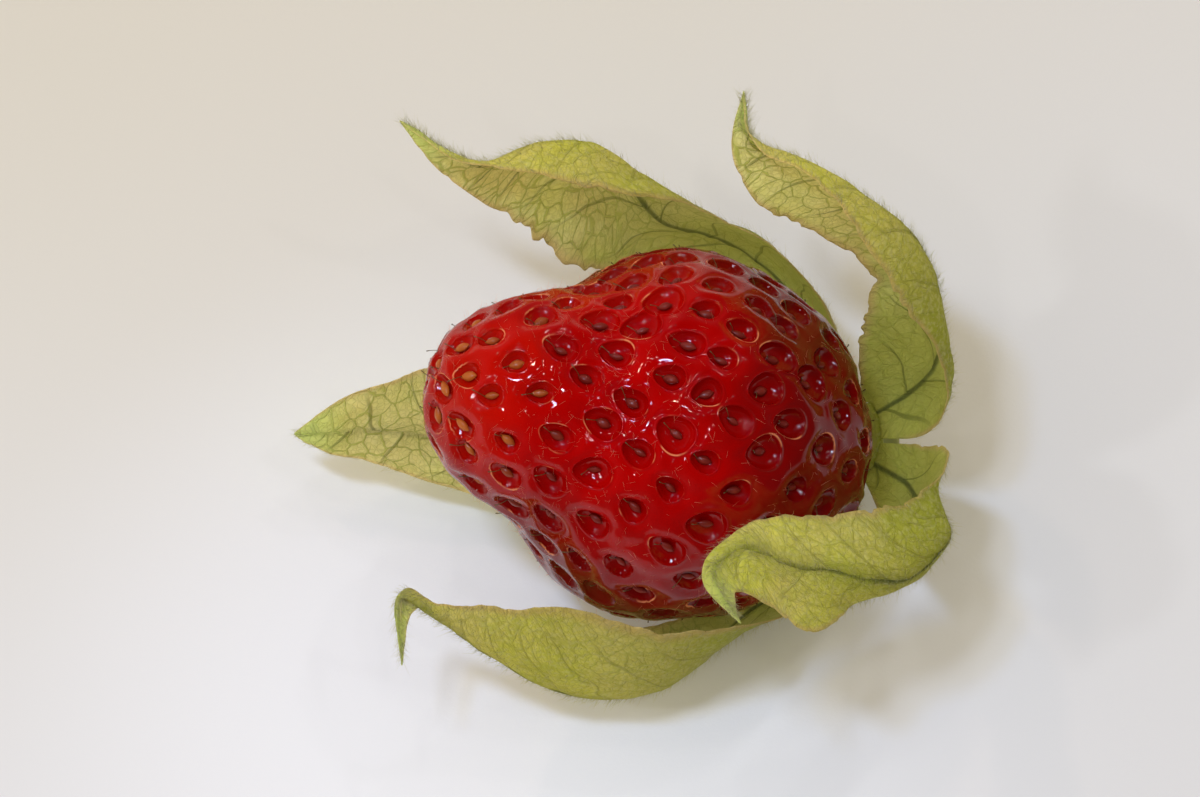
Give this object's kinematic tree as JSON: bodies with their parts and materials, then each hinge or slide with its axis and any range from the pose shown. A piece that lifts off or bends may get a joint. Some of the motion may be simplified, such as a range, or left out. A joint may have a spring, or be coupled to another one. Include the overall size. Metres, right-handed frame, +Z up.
{
  "type": "strawberry in a husk",
  "caption": "Ripe red strawberry with pitted seeds lying in an opened papery green-gold husk whose folded, veined lobes curl round the fruit.",
  "frame": {"origin": "middle of the bounding box's footprint, on the surface that the part lies on", "axes": "+Z up from the surface; +X from the berry's tip towards its blunt end and the husk's cup; +Y to the far side of the berry"},
  "size_m": [0.0534, 0.0424, 0.0351],
  "materials": {
    "berry_skin": "gloss",
    "husk_paper": "matte",
    "stalk_green": "matte"
  },
  "bodies": {
    "root": {"berry": "berry_skin", "husk_lobe_back": "husk_paper", "husk_lobe_top": "husk_paper", "husk_lobe_front": "husk_paper", "husk_lobe_low_front": "husk_paper", "husk_lobe_under": "husk_paper", "husk_cup": "husk_paper", "stalk_stub": "stalk_green"}
  },
  "joints": []
}
